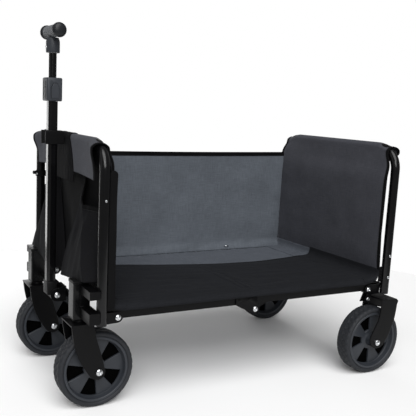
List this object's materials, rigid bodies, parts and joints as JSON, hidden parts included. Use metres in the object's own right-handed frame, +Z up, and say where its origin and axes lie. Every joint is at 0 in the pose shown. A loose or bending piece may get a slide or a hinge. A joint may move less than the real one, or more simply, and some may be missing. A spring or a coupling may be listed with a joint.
{
  "type": "folding utility wagon",
  "caption": "Folding utility wagon with fabric walls on two tube end frames, a hinged floor frame, swivel front wheels and an upright telescopic pull handle.",
  "frame": {"origin": "on the ground, below the centre of the bounding box", "axes": "+X from the handle end to the rear end, +Y to the far side (the raised side panel), +Z up"},
  "size_m": [0.925, 0.5676, 0.8513],
  "materials": {
    "frame_steel": "gloss",
    "zinc_steel": "satin",
    "wheel_plastic": "satin",
    "tyre": "matte",
    "handle_plastic": "satin",
    "grip_foam": "matte",
    "black_fabric": "matte",
    "grey_fabric": "matte"
  },
  "bodies": {
    "front_end": {"front_frame": "frame_steel", "front_crossbar": "frame_steel", "handle_bracket": "frame_steel", "handle_pivot_bolt": "zinc_steel", "handle_clip": "handle_plastic", "front_wall": "black_fabric", "front_pocket_near": "black_fabric", "front_pocket_far": "black_fabric", "far_side_panel": "grey_fabric", "caster_housing_near": "frame_steel", "caster_bracket_near": "frame_steel", "front_rail_bracket_near": "frame_steel", "front_rail_pin_near": "zinc_steel", "caster_housing_far": "frame_steel", "caster_bracket_far": "frame_steel", "front_rail_bracket_far": "frame_steel", "front_rail_pin_far": "zinc_steel"},
    "front_floor": {"front_cross_tube": "frame_steel", "front_floor_board": "grey_fabric", "front_near_panel": "black_fabric", "front_side_rail_near": "frame_steel", "middle_hinge_pin_near": "zinc_steel", "front_side_rail_far": "frame_steel", "middle_hinge_pin_far": "zinc_steel"},
    "rear_floor": {"rear_cross_tube": "frame_steel", "rear_floor_board": "grey_fabric", "rear_near_panel": "black_fabric", "rear_side_rail_near": "frame_steel", "rear_side_rail_far": "frame_steel"},
    "rear_end": {"rear_frame": "frame_steel", "rear_crossbar": "frame_steel", "rear_wall": "grey_fabric", "rear_rail_bracket_near": "frame_steel", "rear_rail_bracket_far": "frame_steel", "rear_rail_pin_near": "zinc_steel", "rear_rail_pin_far": "zinc_steel", "rear_near_fork": "frame_steel", "rear_near_axle_bolt": "zinc_steel", "rear_far_fork": "frame_steel", "rear_far_axle_bolt": "zinc_steel"},
    "handle_lower": {"handle_foot": "handle_plastic", "handle_outer_tube": "frame_steel", "lock_collar": "handle_plastic"},
    "handle_upper": {"handle_inner_tube": "frame_steel", "grip_socket": "handle_plastic", "grip": "grip_foam"},
    "lock_button": {"lock_button": "handle_plastic"},
    "caster_near": {"caster_near_fork": "frame_steel", "caster_near_axle_bolt": "zinc_steel"},
    "caster_wheel_near": {"caster_near_wheel": "wheel_plastic", "caster_near_tyre": "tyre"},
    "rear_wheel_near": {"rear_near_wheel": "wheel_plastic", "rear_near_tyre": "tyre"},
    "caster_far": {"caster_far_fork": "frame_steel", "caster_far_axle_bolt": "zinc_steel"},
    "caster_wheel_far": {"caster_far_wheel": "wheel_plastic", "caster_far_tyre": "tyre"},
    "rear_wheel_far": {"rear_far_wheel": "wheel_plastic", "rear_far_tyre": "tyre"}
  },
  "joints": [
    {"name": "front_fold", "type": "hinge", "parent": "front_end", "child": "front_floor", "pos_m": [-0.3435, 0, 0.221], "axis": [0, -1, 0], "range_deg": [0, 80], "deforming": ["far_side_panel"]},
    {"name": "middle_fold", "type": "hinge", "parent": "front_floor", "child": "rear_floor", "pos_m": [0.0135, 0, 0.204], "axis": [0, -1, 0], "range_deg": [-160, 0]},
    {"name": "rear_fold", "type": "hinge", "parent": "rear_floor", "child": "rear_end", "pos_m": [0.3705, 0, 0.221], "axis": [0, -1, 0], "range_deg": [0, 80]},
    {"name": "handle_tilt", "type": "hinge", "parent": "front_end", "child": "handle_lower", "pos_m": [-0.4145, 0, 0.22], "axis": [0, -1, 0], "range_deg": [0, 100]},
    {"name": "handle_slide", "type": "slide", "parent": "handle_lower", "child": "handle_upper", "axis": [0, 0, 1], "range_m": [-0.045, 0.33]},
    {"name": "lock_press", "type": "slide", "parent": "handle_lower", "child": "lock_button", "axis": [0, 1, 0], "range_m": [0, 0.0025], "stiffness_N_per_m": 600, "springref_m": -0.001},
    {"name": "caster_swivel_near", "type": "hinge", "parent": "front_end", "child": "caster_near", "pos_m": [-0.41, -0.17, 0.2025], "axis": [0, 0, 1], "continuous": true},
    {"name": "caster_spin_near", "type": "hinge", "parent": "caster_near", "child": "caster_wheel_near", "pos_m": [-0.3735, -0.17, 0.089], "axis": [0, 1, 0], "continuous": true},
    {"name": "rear_spin_near", "type": "hinge", "parent": "rear_end", "child": "rear_wheel_near", "pos_m": [0.3735, -0.2435, 0.089], "axis": [0, 1, 0], "continuous": true},
    {"name": "caster_swivel_far", "type": "hinge", "parent": "front_end", "child": "caster_far", "pos_m": [-0.41, 0.17, 0.2025], "axis": [0, 0, 1], "continuous": true},
    {"name": "caster_spin_far", "type": "hinge", "parent": "caster_far", "child": "caster_wheel_far", "pos_m": [-0.3735, 0.17, 0.089], "axis": [0, 1, 0], "continuous": true},
    {"name": "rear_spin_far", "type": "hinge", "parent": "rear_end", "child": "rear_wheel_far", "pos_m": [0.3735, 0.2435, 0.089], "axis": [0, 1, 0], "continuous": true}
  ],
  "couplings": [
    {"joint": "middle_fold", "follows": "front_fold", "ratio": -2},
    {"joint": "rear_fold", "follows": "front_fold", "ratio": 1}
  ]
}
